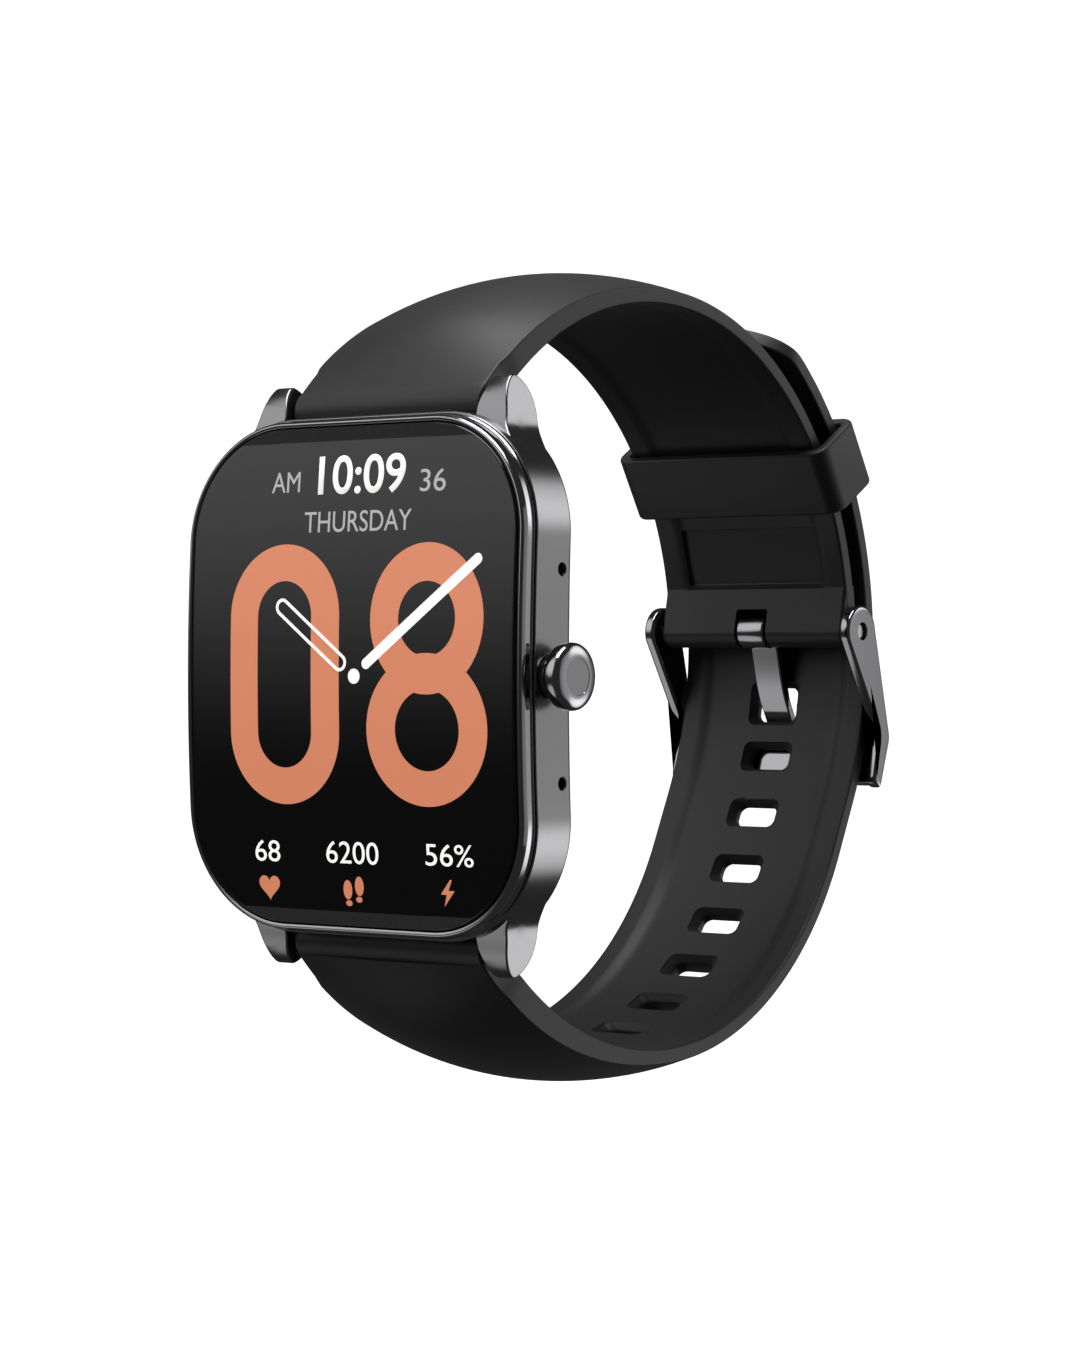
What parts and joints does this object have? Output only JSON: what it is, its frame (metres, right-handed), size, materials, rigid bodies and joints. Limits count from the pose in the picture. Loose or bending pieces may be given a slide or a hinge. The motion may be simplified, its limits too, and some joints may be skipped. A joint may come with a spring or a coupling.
{
  "type": "smartwatch",
  "caption": "Rectangular smartwatch with a turning push crown, touch glass and a silicone strap closed into a loop by a pin buckle and keeper.",
  "frame": {"origin": "middle of the flat face of the sensor lens, the face that lies on the wrist", "axes": "+X towards the crown, +Z towards 12 o'clock, -Y out of the display, +Y into the wrist"},
  "size_m": [0.042, 0.0704, 0.0761],
  "materials": {
    "gunmetal": "satin gunmetal",
    "polished_metal": "polished gunmetal",
    "glass": "polished",
    "display": "lit panel",
    "silicone": "matte black silicone",
    "seal": "matte",
    "steel": "satin",
    "resin": "matte",
    "board": "solder mask",
    "foil": "satin",
    "gold": "plated"
  },
  "bodies": {
    "case": {"antenna_strip": "gold", "back_cover": "resin", "back_gasket": "seal", "back_screw_1": "steel", "back_screw_2": "steel", "back_screw_3": "steel", "back_screw_4": "steel", "battery_cell": "foil", "bezel_ring": "polished_metal", "board_screw_1": "steel", "board_screw_2": "steel", "case_frame": "gunmetal", "charge_contact_left": "gold", "charge_contact_right": "gold", "crown_oring": "seal", "crown_switch": "resin", "crown_tube": "polished_metal", "display_flex": "gold", "display_panel": "display", "glass_gasket": "seal", "haptic_can": "steel", "inner_frame": "resin", "led_green": "resin", "led_red": "resin", "main_board": "board", "microphone_lower": "foil", "microphone_upper": "foil", "motion_sensor": "resin", "photodiode_left": "resin", "photodiode_right": "resin", "power_chip": "resin", "processor_shield": "foil", "radio_chip": "resin", "rotation_sensor": "resin", "sensor_board": "board", "sensor_lens": "glass", "speaker_module": "resin", "touch_glass": "glass"},
    "upper_strap": {"strap_upper": "silicone", "upper_bar_tube": "steel", "upper_bar_pin": "steel", "buckle_bar": "steel"},
    "lower_strap": {"strap_lower": "silicone", "lower_bar_tube": "steel", "lower_bar_pin": "steel"},
    "buckle": {"buckle_frame": "polished_metal"},
    "tongue": {"buckle_tongue": "polished_metal"},
    "keeper": {"strap_keeper": "silicone"},
    "upper_release": {"upper_release_pin": "steel"},
    "lower_release": {"lower_release_pin": "steel"},
    "crown_push": {"crown_plunger": "steel"},
    "crown_turning": {"crown_cap": "polished_metal", "crown_stem": "steel", "crown_wheel": "resin", "crown_clip": "steel"},
    "haptic_slider": {"haptic_mass": "steel"}
  },
  "joints": [
    {"name": "crown_press", "type": "slide", "parent": "case", "child": "crown_push", "axis": [-1, 0, 0], "range_m": [0, 0.00045], "stiffness_N_per_m": 3000},
    {"name": "crown_turn", "type": "hinge", "parent": "crown_push", "child": "crown_turning", "pos_m": [0, -0.0073, 0], "axis": [1, 0, 0], "continuous": true},
    {"name": "upper_strap_swing", "type": "hinge", "parent": "case", "child": "upper_strap", "pos_m": [0, -0.004, 0.0238], "axis": [1, 0, 0], "range_deg": [0, 60]},
    {"name": "lower_strap_swing", "type": "hinge", "parent": "case", "child": "lower_strap", "pos_m": [0, -0.004, -0.0238], "axis": [-1, 0, 0], "range_deg": [0, 55], "deforming": ["strap_lower"]},
    {"name": "buckle_swing", "type": "hinge", "parent": "upper_strap", "child": "buckle", "pos_m": [0, 0.05303, 0.0043], "axis": [1, 0, 0], "range_deg": [0, 40]},
    {"name": "tongue_swing", "type": "hinge", "parent": "upper_strap", "child": "tongue", "pos_m": [0, 0.05303, 0.0043], "axis": [1, 0, 0], "range_deg": [0, 75]},
    {"name": "keeper_slide", "type": "hinge", "parent": "upper_strap", "child": "keeper", "pos_m": [0, 0.0215, 0.0032], "axis": [1, 0, 0], "range_deg": [-14, 24]},
    {"name": "upper_release_slide", "type": "slide", "parent": "upper_strap", "child": "upper_release", "axis": [-1, 0, 0], "range_m": [0, 0.0015], "stiffness_N_per_m": 1500},
    {"name": "lower_release_slide", "type": "slide", "parent": "lower_strap", "child": "lower_release", "axis": [-1, 0, 0], "range_m": [0, 0.0015], "stiffness_N_per_m": 1500},
    {"name": "haptic_shake", "type": "slide", "parent": "case", "child": "haptic_slider", "axis": [0, 0, 1], "range_m": [-0.0004, 0.0004], "stiffness_N_per_m": 450}
  ],
  "couplings": [
    {"joint": "buckle_swing", "follows": "lower_strap_swing", "ratio": 0.727},
    {"joint": "tongue_swing", "follows": "lower_strap_swing", "ratio": 1.36}
  ]
}
